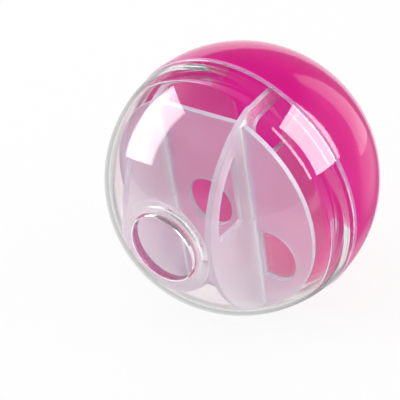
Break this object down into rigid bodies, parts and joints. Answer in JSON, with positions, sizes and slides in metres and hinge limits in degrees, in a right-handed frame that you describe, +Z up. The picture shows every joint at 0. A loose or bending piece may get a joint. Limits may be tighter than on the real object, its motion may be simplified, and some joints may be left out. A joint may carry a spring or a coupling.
{
  "type": "treat dispensing ball",
  "caption": "Hollow ball of a clear and a pink half shell that pull apart, with a frosted maze inside that lets treats fall slowly out of a round exit hole.",
  "frame": {"origin": "centre of the ball", "axes": "-Y along the ball's axis and out of the exit hole, +Y into the pink half, +Z up, along the two upright vanes of the maze"},
  "size_m": [0.06, 0.0587, 0.06],
  "materials": {
    "clear_plastic": "clear moulded styrene, glossy",
    "pink_plastic": "opaque moulded plastic, glossy",
    "frosted_plastic": "frosted translucent polypropylene"
  },
  "bodies": {
    "clear_half": {"clear_half_shell": "clear_plastic"},
    "maze": {"maze_plate": "frosted_plastic", "right_maze_vane": "frosted_plastic", "left_maze_vane": "frosted_plastic"},
    "pink_half": {"pink_half_shell": "pink_plastic"}
  },
  "joints": [
    {"name": "maze_turn", "type": "hinge", "parent": "clear_half", "child": "maze", "pos_m": [0, 0, 0], "axis": [0, 1, 0], "continuous": true},
    {"name": "pink_pull", "type": "slide", "parent": "maze", "child": "pink_half", "axis": [0, 1, 0], "range_m": [0, 0.06]}
  ]
}
